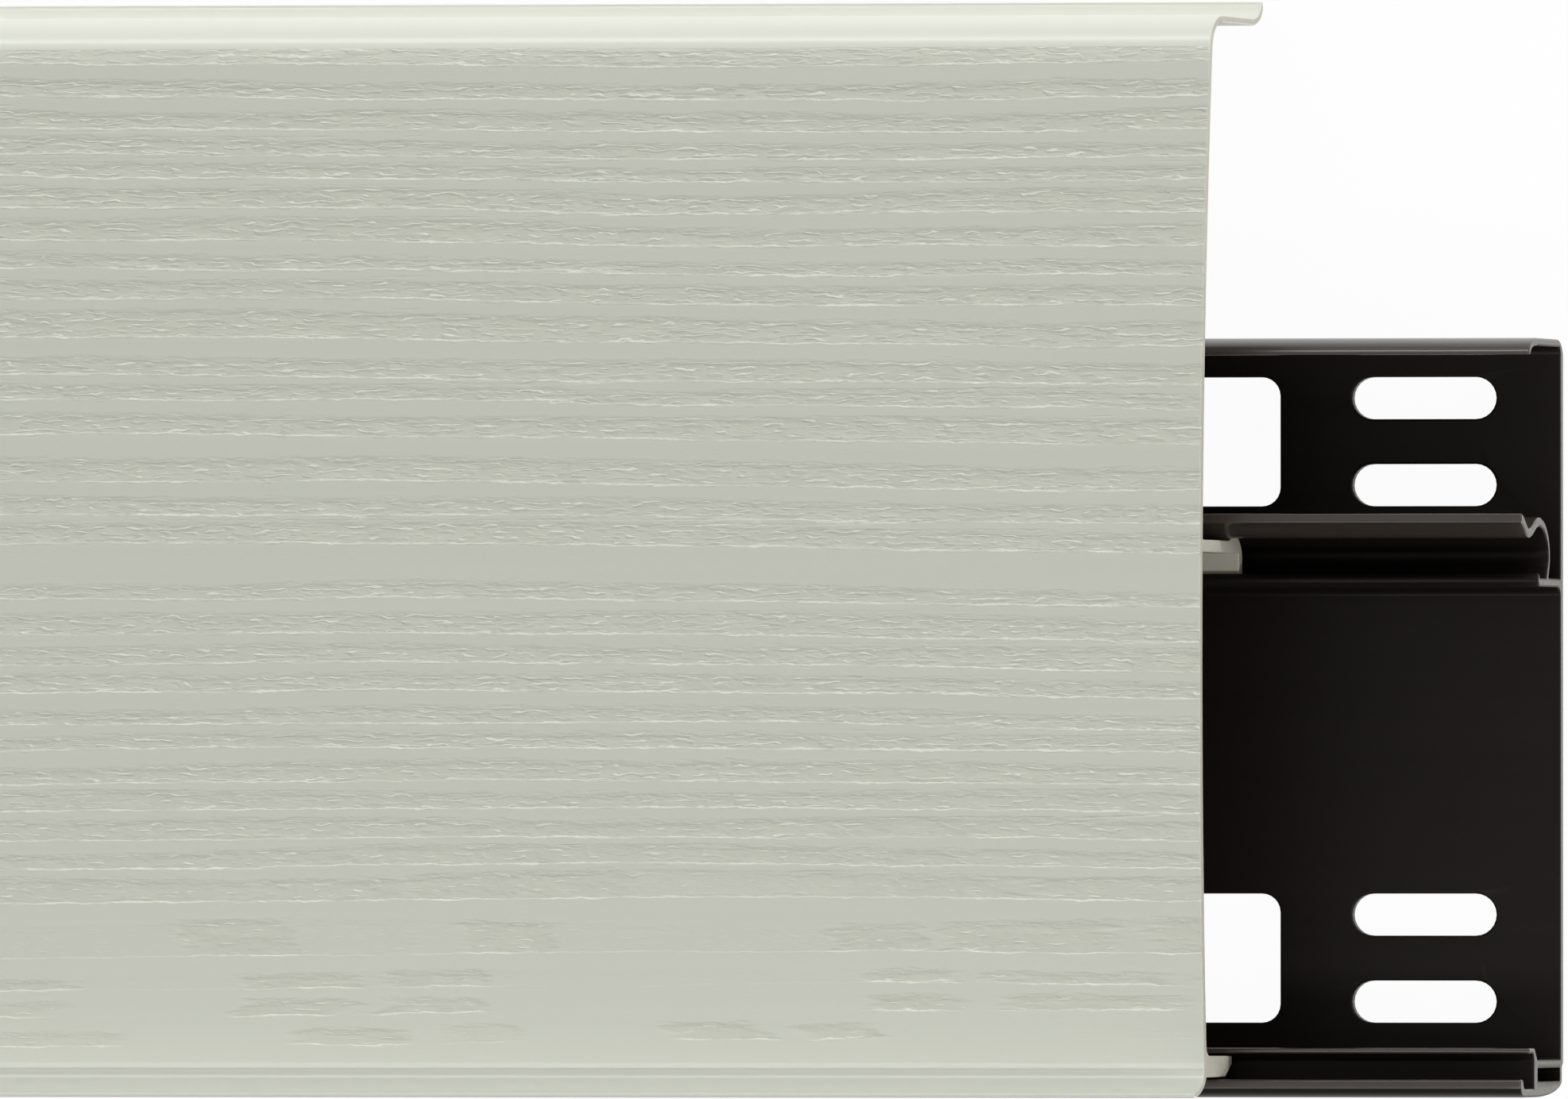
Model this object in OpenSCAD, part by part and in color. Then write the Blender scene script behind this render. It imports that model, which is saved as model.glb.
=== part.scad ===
// Clip-on skirting board: a grained cover strip clipped over a slotted mounting strip.
// It lies on its back: X runs along the board, Y is up the wall and Z is out from the wall.
// Section points are written as [height above the floor, distance from the wall], in millimetres.

/* [Board] */
// Length of the mounting strip
board_length = 2500; // [1000:10:3000]
// How far the mounting strip stands out past the cover's cut end
bare_length = 19.6; // [0:0.1:60]
// Height of the board on the wall
board_height = 70.5; // [64:0.5:84]
// Depth from the wall to the tip of the bottom lip
board_depth = 26; // [24:0.5:32]

/* [Cover strip] */
// Thickness of the cover's wall
cover_wall = 1.1; // [0.8:0.05:1.4]
// How far the bottom lip stands out in front of the face
toe_run = 2.05; // [1:0.05:3]
// Height of the bottom lip
toe_height = 1.75; // [1.2:0.05:2.4]
// Thickness of the bottom lip at its tip
toe_tip = 0.3; // [0.2:0.05:0.5]
// Height at which the face stands out furthest
bulge_height = 28; // [20:1:36]
// Radius of the bulge of the face
bulge_radius = 200; // [160:5:400]
// Height of the rounded top corner
corner_rise = 2.3; // [1.6:0.1:3.4]
// Depth of the rounded top corner
corner_run = 4.9; // [3:0.1:6]
// Thickness of the flange that runs back to the wall
flange_wall = 0.5; // [0.4:0.05:0.7]
// How far the lip at the wall turns up above the flange
lip_rise = 1.1; // [0.5:0.05:1.6]
// Distance from the wall at which the lip starts to turn up
lip_run = 4; // [2:0.1:6]
// Height of the edge of the lip that bears on the wall
lip_edge = 0.4; // [0.2:0.05:0.5]

/* [Clip joint] */
// Gap between the cover and the mounting strip where they clip together
clip_gap = 0.15; // [0.1:0.01:0.2]
// Thickness of the arm of the cover's hook
hook_wall = 0.8; // [0.6:0.05:1.1]
// Height of the bump on the cover's hook
hook_bump = 0.4; // [0.3:0.05:0.45]
// Thickness of the lip that the hook turns down
hook_lip = 1.35; // [1:0.05:1.6]
// Height of the nose of the hook, from the arm's top down to where it turns straight
hook_nose = 1.15; // [0.9:0.05:1.4]
// Thickness of the cover's bottom rib
rib_wall = 1.35; // [1:0.05:1.8]
// Fillet of the bottom rib: its height up the cover
rib_fillet = 0.6; // [0.3:0.05:1]
// Slope at the end of the bottom rib
rib_slope = 0.8; // [0.4:0.05:1]

/* [Mounting strip] */
// Thickness of the wall plate
plate_wall = 1.1; // [0.9:0.05:1.4]
// How far the top of the mounting strip lies below the top of the cover
strip_drop = 21.8; // [18:0.1:24.5]
// How far the top hook stands off the wall
top_reach = 13.5; // [10:0.1:15]
// Thickness of the top hook
top_wall = 0.5; // [0.4:0.05:0.7]
// How far the top hook turns down
top_turn = 1.1; // [0.8:0.05:1.5]
// How far the tip of the catch stands off the wall
catch_reach = 16.4; // [15:0.1:18]
// How far the catch lies below the top of the mounting strip
catch_drop = 12.55; // [11.5:0.05:16]
// Thickness of the catch
catch_wall = 0.6; // [0.5:0.05:0.7]
// Distance from the tip of the catch back to its bump
catch_lead = 3.2; // [2.4:0.1:4]
// Distance from the bump of the catch back to its peak
catch_wave = 3.9; // [3.4:0.1:4.4]
// Height of the tip of the catch above its bump
catch_tip_rise = 0.95; // [0.7:0.05:1.3]
// Height of the peak of the catch above its bump
catch_peak_rise = 0.75; // [0.7:0.05:1]
// Distance from the peak of the catch back to its rear wall
catch_round = 3.8; // [3.4:0.1:4.2]
// Opening of the catch, from its bump down to its ledge
catch_mouth = 2.55; // [2.3:0.05:3]
// Thickness of the ledge of the catch
ledge_wall = 0.55; // [0.4:0.05:0.8]
// Height of the nub on the ledge
ledge_nub = 0.3; // [0.2:0.05:0.4]
// Width of the nub on the ledge
ledge_nub_width = 0.55; // [0.4:0.05:0.7]

/* [Bottom channel] */
// How far the front lip of the channel stands off the wall
channel_reach = 16.7; // [15.5:0.1:18]
// Height of the front lip of the channel
channel_lip_height = 1.15; // [1:0.05:1.4]
// Thickness of the front lip of the channel
channel_lip = 1; // [0.7:0.05:1.2]
// Thickness of the floor of the channel
channel_floor = 0.55; // [0.4:0.05:0.7]
// Distance from the wall to the front of the hollow box
box_reach = 11.5; // [10.5:0.1:12.5]
// Height of the hollow box
box_height = 2.4; // [2.1:0.05:2.6]
// Thickness of the front and rear walls of the box
box_wall = 1.35; // [1:0.05:1.6]
// Thickness of the roof of the box
box_roof = 0.53; // [0.4:0.01:0.7]
// Height of the hollow in the box
box_hollow = 0.87; // [0.7:0.01:1]
// How far the barb on the box stands out over the channel
barb_run = 1.8; // [1.4:0.1:2.2]
// Thickness of the barb
barb_wall = 0.35; // [0.3:0.05:0.6]
// How far the heel of the box is set in from the wall
heel_step = 0.5; // [0.3:0.05:0.7]

/* [Holes] */
// Distance from one set of holes to the next
hole_pitch = 36.7; // [34:0.1:60]
// Distance from the end of the strip to its first slot
end_margin = 4.2; // [3:0.1:10]
// Length of a screw slot
slot_length = 9.4; // [7:0.1:11]
// Width of a screw slot
slot_width = 2.7; // [2:0.1:3.2]
// Distance between the centres of the two slots of a pair
slot_spread = 5.6; // [4.8:0.1:6.4]
// Width of the web between a slot and its window
web_width = 4.7; // [3:0.1:6]
// Length of a window
window_length = 18; // [12:0.1:19.5]
// Corner radius of a window
window_corner = 1.2; // [0.5:0.1:1.6]
// Distance from the top of the mounting strip to the upper row of holes
upper_edge = 2.4; // [2:0.1:2.8]
// Height of the lower edge of the lower row of holes
lower_edge = 4.75; // [4.2:0.05:8]

/* [Hidden] */

// Steps along each rounded stretch of a section, and facets of a whole circle
arc_steps = 10;
bulge_steps = 24;
circle_facets = 48;
// How deep a feature's root runs into the wall that it grows from
root = 0.3;

cover_colour = [0.73, 0.74, 0.70];
strip_colour = [0.11, 0.10, 0.09];

// The cover's face and its top corner
face_depth = board_depth - toe_run;
flange_top = board_height - lip_rise;
corner_height = flange_top - corner_rise;
corner_slope = (corner_height - bulge_height) / bulge_radius;
corner_lean = atan(corner_slope * corner_rise / corner_run);
corner_depth = face_at(corner_height + corner_rise * sin(corner_lean)) - corner_run * cos(corner_lean);
inner_rise = corner_rise - flange_wall;
inner_run = corner_run - cover_wall;
inner_lean = atan(corner_slope * inner_rise / inner_run);

// The catch, by the middle of its wall
strip_top = board_height - strip_drop;
catch_height = strip_top - catch_drop;
bump_depth = catch_reach - catch_lead;
peak_depth = bump_depth - catch_wave;
peak_height = catch_height + catch_peak_rise;
rear_depth = peak_depth - catch_round;
mouth_top = catch_height - catch_wall / 2;
ledge_top = mouth_top - catch_mouth;
rear_height = peak_height - 0.6 * (peak_height - ledge_top);
ledge_reach = peak_depth + ledge_nub_width;

// The cover's hook, which clips into the catch
arm_top = mouth_top - clip_gap;
hook_back = peak_depth - clip_gap - hook_lip;
hook_bottom = ledge_top + clip_gap;
hook_crest = bump_depth - 0.6 * catch_wave;
hook_foot = bump_depth - 2 * clip_gap;

// The bottom channel, and the cover's rib that clips into it
channel_wall = channel_reach - channel_lip;
rib_bottom = channel_lip_height + clip_gap;
rib_top = rib_bottom + rib_wall;
rib_end = box_reach + 2 * clip_gap;
barb_bottom = rib_top + clip_gap;
barb_top = barb_bottom + barb_wall;
heel_height = box_height - box_roof - box_hollow;

// The holes: each set has a slot pair and a window, in an upper and a lower row
row_height = slot_spread + slot_width;
upper_row = strip_top - upper_edge - row_height / 2;
lower_row = lower_edge + row_height / 2;
set_length = slot_length + web_width + window_length;
set_count = floor((board_length - 2 * end_margin - set_length) / hole_pitch) + 1;

// Distance from the wall to the cover's face at a height: the bulge is a shallow arc
function face_at(height) = face_depth - pow(height - bulge_height, 2) / (2 * bulge_radius);

// Points on an ellipse, as [height, depth]: 0 degrees points out from the wall and 90 points up
function curve(centre, radii, from, to) =
    [for (i = [0 : arc_steps])
        let (a = from + (to - from) * i / arc_steps)
        centre + [radii[0] * sin(a), radii[1] * cos(a)]];

// A smooth half wave from one point to another, level at both ends
function wave(from, to) =
    [for (i = [0 : arc_steps])
        let (s = i / arc_steps)
        [from[0] + (to[0] - from[0]) * (1 - cos(180 * s)) / 2, from[1] + (to[1] - from[1]) * s]];

// The face, or the inside of it, from one height to another
function face_line(from, to, inset) =
    [for (i = [1 : bulge_steps - 1])
        let (height = from + (to - from) * i / bulge_steps)
        [height, face_at(height) - inset]];

// The unit vector square to a path at one of its points
function square_to(path, i) =
    let (along = path[min(i + 1, len(path) - 1)] - path[max(i - 1, 0)])
    [-along[1], along[0]] / norm(along);

// The outline of a strip of even thickness whose middle follows a path
function strip_around(path, wall) = concat(
    [for (i = [0 : len(path) - 1]) path[i] + square_to(path, i) * wall / 2],
    [for (i = [len(path) - 1 : -1 : 0]) path[i] - square_to(path, i) * wall / 2]);

// Stretches a section along the board, from one distance to another
module along(from, to) {
    translate([from, -board_height / 2, 0])
        rotate([90, 0, 90])
            linear_extrude(to - from)
                children();
}

module cover_shell() {
    toe = [toe_height, board_depth];
    toe_depth = board_depth - face_at(toe_height);
    corner = [corner_height, corner_depth];
    lip = [board_height, lip_run];
    lip_under = [board_height - lip_edge, lip_run];
    polygon(concat(
        curve(toe, [toe_height - toe_tip, toe_depth], -90, -180),
        face_line(toe_height, corner_height, 0),
        curve(corner, [corner_rise, corner_run], corner_lean, 90),
        curve(lip, [lip_rise, lip_run - flange_wall], -90, -180),
        [[board_height, 0]],
        curve(lip_under, [lip_rise - lip_edge + flange_wall, lip_run], -180, -90),
        curve(corner, [inner_rise, inner_run], 90, inner_lean),
        face_line(corner_height, toe_height, cover_wall),
        curve(toe, [toe_height, toe_depth + cover_wall], -180, -90)));
}

module cover_hook() {
    arm_root = face_at(arm_top) - cover_wall + root;
    nose = [arm_top - hook_nose, hook_crest];
    polygon(concat(
        [[arm_top - hook_wall, arm_root], [arm_top, arm_root]],
        wave([arm_top, hook_foot], [arm_top + hook_bump, hook_crest]),
        curve(nose, [hook_nose + hook_bump, hook_crest - hook_back], 90, 180),
        [[hook_bottom, hook_back], [hook_bottom, hook_back + hook_lip],
         [arm_top - hook_wall, hook_back + hook_lip]]));
}

module cover_rib() {
    inside = face_at(rib_top + rib_fillet) - cover_wall;
    fillet_run = 3 * rib_fillet;
    polygon(concat(
        [[rib_bottom, inside + root], [rib_top + rib_fillet, inside + root]],
        curve([rib_top + rib_fillet, inside - fillet_run], [rib_fillet, fillet_run], 0, -90),
        [[rib_top, rib_end], [rib_bottom + rib_slope, rib_end], [rib_bottom, rib_end + 3 * rib_slope]]));
}

module cover_strip() {
    color(cover_colour)
        along(-board_length / 2, board_length / 2 - bare_length) {
            cover_shell();
            cover_hook();
            cover_rib();
        }
}

// The hook along the top of the mounting strip, with the rounded top corner of its plate
module strip_top_hook() {
    turn = [strip_top - top_turn, top_reach - 3 * top_turn];
    corner = [strip_top - top_turn, 2 * top_turn];
    polygon(concat(
        curve(turn, [top_turn, 3 * top_turn], 0, 90),
        curve(corner, [top_turn, 2 * top_turn], 90, 180),
        [[strip_top - top_turn - top_wall, 0], [strip_top - top_turn - top_wall, plate_wall]],
        curve([strip_top - top_wall - top_wall, plate_wall + top_wall], [top_wall, top_wall], 180, 90),
        curve(turn, [top_turn - top_wall, 3 * top_turn - 1.5 * top_wall], 90, 0)));
}

module strip_catch() {
    tip = [catch_height + catch_tip_rise, catch_reach];
    bump = [catch_height, bump_depth];
    peak = [peak_height, peak_depth];
    rear = [rear_height, peak_depth];
    polygon(strip_around(concat(
        wave(tip, bump),
        [for (p = wave(bump, peak)) if (p != bump && p != peak) p],
        curve(rear, [peak_height - rear_height, catch_round], 90, 205),
        [[ledge_top - ledge_wall / 2, rear_depth + 1.5 * catch_wall]]), catch_wall));
}

// The ledge under the catch, with a nub that keeps the cover's hook from sliding forward
module strip_ledge() {
    under = ledge_top - ledge_wall;
    polygon(concat(
        [[under - ledge_wall, plate_wall - root], [ledge_top, plate_wall - root],
         [ledge_top, peak_depth], [ledge_top + ledge_nub, peak_depth],
         [ledge_top + ledge_nub, ledge_reach - ledge_nub], [ledge_top, ledge_reach],
         [under + ledge_wall / 2, ledge_reach]],
        [[under, ledge_reach - ledge_wall]],
        curve([under - ledge_wall, plate_wall + 2 * ledge_wall], [ledge_wall, 2 * ledge_wall], 90, 180)));
}

// The hollow box at the foot of the strip, its barb, and the open channel in front of it
module strip_channel() {
    heel = [heel_height, box_reach - 1];
    toe_radius = channel_lip_height / 2;
    toe = [toe_radius, channel_reach - 2.5 * toe_radius];
    groove = [channel_lip_height, channel_wall - 1.5 * toe_radius];
    difference() {
        polygon(concat(
            [[box_height, 0], [box_height - root, 0], [box_height - box_roof, heel_step]],
            curve(heel, [heel_height, box_reach - 1 - heel_step], 180, 270),
            curve(toe, [toe_radius, 2.5 * toe_radius], -90, 0),
            [[channel_lip_height, channel_reach]],
            curve(groove, [channel_lip_height - channel_floor, 1.5 * toe_radius], 0, -90),
            [[channel_floor, box_reach], [box_height, box_reach],
             [barb_bottom, box_reach + root], [barb_bottom, box_reach + barb_run],
             [barb_top, box_reach + barb_run], [barb_top, box_reach - root],
             [box_height, box_reach - box_wall]]));
        translate([heel_height, box_wall])
            square([box_hollow, box_reach - 2 * box_wall]);
    }
}

module slot_hole() {
    square([slot_length - slot_width, slot_width], center = true);
    for (side = [-1, 1])
        translate([side * (slot_length - slot_width) / 2, 0])
            circle(d = slot_width, $fn = circle_facets);
}

module window_hole() {
    straight = [window_length, row_height] - 2 * [window_corner, window_corner];
    square([window_length, straight[1]], center = true);
    square([straight[0], row_height], center = true);
    for (x = [-1, 1], y = [-1, 1])
        translate([x * straight[0], y * straight[1]] / 2)
            circle(r = window_corner, $fn = circle_facets);
}

// A slot pair and the window beside it, from the slot's end back along the strip
module hole_set() {
    for (side = [-1, 1])
        translate([-slot_length / 2, side * slot_spread / 2])
            slot_hole();
    translate([-slot_length - web_width - window_length / 2, 0])
        window_hole();
}

module strip_plate() {
    translate([0, -board_height / 2, 0])
        linear_extrude(plate_wall)
            difference() {
                translate([-board_length / 2, box_height - root])
                    square([board_length, strip_top - top_turn - box_height + root]);
                for (set = [0 : set_count - 1], row = [upper_row, lower_row])
                    translate([board_length / 2 - end_margin - set * hole_pitch, row])
                        hole_set();
            }
}

module mounting_base() {
    color(strip_colour) {
        strip_plate();
        along(-board_length / 2, board_length / 2) {
            strip_top_hook();
            strip_catch();
            strip_ledge();
            strip_channel();
        }
    }
}

cover_strip();
mounting_base();
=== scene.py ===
from functools import partial
from math import asin, cos, degrees, pi, radians, sin

import bmesh
import bpy
import numpy as np
from mathutils import Matrix, Vector
from mathutils.geometry import tessellate_polygon


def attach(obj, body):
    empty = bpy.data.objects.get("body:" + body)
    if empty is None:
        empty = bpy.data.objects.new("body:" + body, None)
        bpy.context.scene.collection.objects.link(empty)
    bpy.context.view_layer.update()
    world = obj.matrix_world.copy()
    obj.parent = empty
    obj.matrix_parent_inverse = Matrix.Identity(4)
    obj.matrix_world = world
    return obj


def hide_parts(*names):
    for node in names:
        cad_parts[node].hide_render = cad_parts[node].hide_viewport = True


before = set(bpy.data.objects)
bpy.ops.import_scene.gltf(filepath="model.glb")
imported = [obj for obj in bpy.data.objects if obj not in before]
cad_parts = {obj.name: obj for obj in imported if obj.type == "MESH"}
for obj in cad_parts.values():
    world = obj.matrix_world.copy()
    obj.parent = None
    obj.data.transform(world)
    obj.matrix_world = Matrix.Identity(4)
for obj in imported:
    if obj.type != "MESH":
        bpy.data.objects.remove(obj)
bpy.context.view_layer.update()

mm = 0.001
print("frame loaded")

# Camera: a long lens about three metres away, looking down on the board's cut end
view = {
    "lens": 1060.28,  # mm, on a sensor 36 mm wide
    "sensor": 36,
    "target": (1201.2254, -0.0744, 12.0),  # mm, the point in the middle of the picture
    "distance": 2967.94,  # mm
    "yaw": 10.335,  # degrees round towards the cut end
    "pitch": -0.4076,  # degrees up the board
    "clip": (0.1, 60),  # m
}


def addCamera(s):
    # The axis that points back from the target is (sin yaw cos pitch, sin pitch, cos yaw cos pitch)
    yaw, pitch = radians(s["yaw"]), radians(s["pitch"])
    back = Vector((sin(yaw) * cos(pitch), sin(pitch), cos(yaw) * cos(pitch)))
    right = Vector((0, 1, 0)).cross(back).normalized()
    data = bpy.data.cameras.new("camera")
    data.sensor_fit = "HORIZONTAL"
    data.sensor_width = s["sensor"]
    data.lens = s["lens"]
    data.clip_start, data.clip_end = s["clip"]
    camera = bpy.data.objects.new("camera", data)
    bpy.context.scene.collection.objects.link(camera)
    place = Matrix((right, back.cross(right), back)).transposed().to_4x4()
    place.translation = (Vector(s["target"]) + back * s["distance"]) * mm
    camera.matrix_world = place
    bpy.context.scene.camera = camera


addCamera(view)
print("camera placed")

# Measures that both strips share, in mm. Section points are (height above the floor, distance from the wall)
board = {
    "length": 2500,
    "height": 70.5,
    "depth": 26,
    "clipGap": 0.15,
    "stripTop": 48.7,
    "catchHeight": 36.15,  # middle of the catch's wall at its bump
    "catchReach": 16.4,
    "catchLead": 3.2,
    "catchWave": 3.9,
    "catchPeak": 0.75,  # peak above the bump
    "catchWall": 0.6,
    "catchMouth": 2.55,
    "channelLip": 1.15,  # height of the channel's front lip
    "ribWall": 1.35,
    "boxReach": 11.5,
}
bumpDepth = board["catchReach"] - board["catchLead"]
peakDepth = bumpDepth - board["catchWave"]
mouthTop = board["catchHeight"] - board["catchWall"] / 2
ledgeTop = mouthTop - board["catchMouth"]
ribBottom = board["channelLip"] + board["clipGap"]
ribTop = ribBottom + board["ribWall"]


def curve(centre, radii, start, end, steps):
    # Points of an ellipse at even angles: centre plus (rise times sine, run times cosine)
    a = np.radians(np.linspace(start, end, steps + 1))
    return np.stack([centre[0] + radii[0] * np.sin(a), centre[1] + radii[1] * np.cos(a)], 1)


def wave(start, end, steps):
    # A half cosine wave between two points, level at both ends
    s = np.linspace(0, 1, steps + 1)
    rise = start[0] + (end[0] - start[0]) * (1 - np.cos(pi * s)) / 2
    return np.stack([rise, start[1] + (end[1] - start[1]) * s], 1)


def joinStretches(stretches):
    # One closed outline from marked stretches, without the points that repeat where they meet
    points = np.concatenate([np.atleast_2d(p) for mark, p in stretches])
    marks = np.concatenate([np.full(len(np.atleast_2d(p)), mark) for mark, p in stretches])
    apart = np.linalg.norm(points - np.roll(points, 1, 0), axis=1) > 1e-4
    return points[apart], marks[apart]


def roundCorners(points, marks, radius, steps=4, limit=25):
    # A corner that turns by more than the limit becomes a quadratic curve: it leaves the edge before the
    # corner at one radius from it and joins the edge after it at one radius
    before, after = np.roll(points, 1, 0) - points, np.roll(points, -1, 0) - points
    lengthBefore = np.linalg.norm(before, axis=1, keepdims=True)
    lengthAfter = np.linalg.norm(after, axis=1, keepdims=True)
    cosine = np.sum(-before * after, 1) / (lengthBefore * lengthAfter)[:, 0]
    turn = np.degrees(np.arccos(np.clip(cosine, -1, 1)))
    sharp = turn > limit
    reach = np.minimum(radius, 0.45 * np.minimum(lengthBefore, lengthAfter))
    first, last = points + before / lengthBefore * reach, points + after / lengthAfter * reach
    t = np.linspace(0, 1, steps)[None, :, None]
    bent = (1 - t) ** 2 * first[:, None] + 2 * t * (1 - t) * points[:, None] + t ** 2 * last[:, None]
    bent[~sharp, 0] = points[~sharp]
    keep = sharp[:, None] | (np.arange(steps) == 0)[None]
    return bent[keep], np.repeat(marks[:, None], steps, 1)[keep]


def sectionNormals(points):
    # The outward normal at each point of an outline that goes up the face and back down the wall side
    ahead = np.roll(points, -1, 0) - points
    ahead /= np.linalg.norm(ahead, axis=1, keepdims=True)
    along = ahead + np.roll(ahead, 1, 0)
    along /= np.linalg.norm(along, axis=1, keepdims=True)
    return np.stack([-along[:, 1], along[:, 0]], 1)


def endRings(low, high, columns, radius, steps=3):
    # Columns along the board with a rounded edge at each end: (distance along, how far the section is inset)
    turn = np.linspace(0, pi / 2, steps + 1)[1:]
    out, inset = radius * np.sin(turn), radius * (1 - np.cos(turn))
    x = np.concatenate([(low + radius - out)[::-1], columns, high - radius + out])
    return x, np.concatenate([inset[::-1], np.zeros(len(columns)), inset])


def carry(points, x, inset):
    # Vertex (i, j) is section point j moved inwards along its normal by inset (i, j), at distance x (i)
    moved = points[None] - sectionNormals(points)[None] * inset[..., None]
    along = np.broadcast_to(x[:, None], moved.shape[:2])
    return np.stack([along, moved[..., 0] - board["height"] / 2, moved[..., 1]], -1).reshape(-1, 3)


def tubeFaces(rings, around, first=0):
    # Quads (i, j) of a closed tube, in rows by ring, turned outwards
    i, j = np.meshgrid(np.arange(rings - 1), np.arange(around), indexing="ij")
    after = (j + 1) % around
    quads = np.stack([i * around + j, (i + 1) * around + j, (i + 1) * around + after, i * around + after], -1)
    return quads + first


def fillLoops(loops):
    # Triangles between an outer loop and its holes, all anticlockwise in the loops' own plane
    triangles = np.array(tessellate_polygon([[Vector((*p, 0)) for p in loop] for loop in loops]))
    points = np.concatenate(loops)
    a, b, c = (points[triangles[:, k]] for k in range(3))
    area = (b[:, 0] - a[:, 0]) * (c[:, 1] - a[:, 1]) - (b[:, 1] - a[:, 1]) * (c[:, 0] - a[:, 0])
    return np.where(area[:, None] > 0, triangles, triangles[:, ::-1])


def makePiece(name, vertices, faces, materials, indices, node):
    # One closed shell from all its faces: points that meet are merged and the faces turned outwards together
    mesh = bpy.data.meshes.new(name)
    mesh.from_pydata((vertices * mm).tolist(), [], faces)
    for material in materials:
        mesh.materials.append(material)
    mesh.polygons.foreach_set("material_index", np.asarray(indices, np.int32))
    mesh.shade_smooth()
    shell = bmesh.new()
    shell.from_mesh(mesh)
    bmesh.ops.remove_doubles(shell, verts=shell.verts, dist=1e-6)
    bmesh.ops.recalc_face_normals(shell, faces=shell.faces)
    if shell.calc_volume(signed=True) < 0:
        bmesh.ops.reverse_faces(shell, faces=shell.faces)
    loose = sum(not edge.is_manifold for edge in shell.edges)
    shell.to_mesh(mesh)
    shell.free()
    print(name, "made:", len(mesh.polygons), "faces,", loose, "open edges")
    piece = bpy.data.objects.new(name, mesh)
    bpy.context.scene.collection.objects.link(piece)
    weighted = piece.modifiers.new("flat faces stay flat", "WEIGHTED_NORMAL")
    weighted.keep_sharp = True
    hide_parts(node)
    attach(piece, "root")
    return piece


def linear(hexColour):
    # An sRGB hex colour as linear light
    c = np.array([int(hexColour[i:i + 2], 16) / 255 for i in (1, 3, 5)])
    return (*np.where(c <= 0.04045, c / 12.92, ((c + 0.055) / 1.055) ** 2.4), 1.0)


def addNode(tree, kind, inputs, **settings):
    # One node: its own settings, and its inputs in order or by name. A socket is linked, a value is set
    node = tree.nodes.new("ShaderNode" + kind)
    for name, value in settings.items():
        setattr(node, name, value)
    inputs = inputs if isinstance(inputs, dict) else dict(enumerate(inputs))
    for key, value in inputs.items():
        if isinstance(value, bpy.types.NodeSocket):
            tree.links.new(value, node.inputs[key])
        else:
            node.inputs[key].default_value = value
    return node.outputs


# Settings that many nodes share
times = {"operation": "MULTIPLY"}
timesPlus = {"operation": "MULTIPLY_ADD"}
minus = {"operation": "SUBTRACT"}
least = {"operation": "MINIMUM"}
most = {"operation": "MAXIMUM"}
whole = {"operation": "FLOOR"}
fraction = {"operation": "FRACT"}
eased = {"interpolation_type": "SMOOTHSTEP"}
colours = {"data_type": "RGBA"}


def newMaterial(name, colour, roughness, ior, level):
    # The material, what adds a node to it, and its shader
    material = bpy.data.materials.new(name)
    material.use_nodes = True
    shader = material.node_tree.nodes["Principled BSDF"]
    shader.inputs["Base Color"].default_value = linear(colour)
    shader.inputs["Roughness"].default_value = roughness
    shader.inputs["IOR"].default_value = ior
    shader.inputs["Specular IOR Level"].default_value = level
    return material, partial(addNode, material.node_tree), shader


def scaledNoise(add, coords, sizes, detail=2.0, roughness=0.5):
    # Noise whose features measure about sizes (along, up, out) in mm
    place = add("Mapping", {"Vector": coords, "Scale": tuple(1000 / s for s in sizes)})[0]
    return add("TexNoise", {"Vector": place, "Scale": 1.0, "Detail": detail, "Roughness": roughness})["Fac"]


def wireShader(add, shader, relief, tint=None):
    # Relief in mm becomes bump, and the tint becomes the colour
    links = shader.id_data.links
    bump = add("Bump", {"Strength": 1.0, "Distance": mm, "Height": relief})["Normal"]
    links.new(bump, shader.inputs["Normal"])
    if tint is not None:
        links.new(tint, shader.inputs["Base Color"])


# Cover strip: the pale strip that shows in the room
cover = {
    "bareLength": 19.6,
    "wall": 1.1,
    "toeRun": 2.05,
    "toeHeight": 1.75,
    "toeTip": 0.3,
    "bulgeHeight": 28,
    "bulgeRadius": 200,
    "cornerRise": 2.3,
    "cornerRun": 4.9,
    "flangeWall": 0.5,
    "lipRise": 1.1,
    "lipRun": 4,
    "lipEdge": 0.4,
    "hookWall": 0.8,
    "hookBump": 0.4,
    "hookLip": 1.35,
    "hookNose": 1.15,
    "ribFillet": 0.6,
    "ribSlope": 0.8,
    "seamDepth": 0.012,  # groove where the soft lips meet the hard wall
    "seamWidth": 0.12,
    "edgeRadius": 0.1,
    "faceRows": 188,
    "columns": 276,
    "grainTop": 67.6,  # where the embossing stops, just under the rounded corner
    "grainRunOut": 0.3,  # how far above its top the embossing still shows
    "grainDepth": 0.03,  # how much of the embossing is in the mesh
    "grainSlope": 0.45,  # width of the slope at a band's edges
    "faceFrom": 15,  # distance from the wall, in front of which the section is the face
}
core, face, smooth, soft = range(4)
faceDepth = board["depth"] - cover["toeRun"]
cornerHeight = board["height"] - cover["lipRise"] - cover["cornerRise"]


def faceAt(height):
    # The face is a shallow bulge: it falls back by the square of the height from the bulge, over twice its
    # radius
    return faceDepth - (height - cover["bulgeHeight"]) ** 2 / (2 * cover["bulgeRadius"])


def faceLine(start, end, steps, inset=0.0):
    height = np.linspace(start, end, steps + 1)
    return np.stack([height, faceAt(height) - inset], 1)


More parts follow.
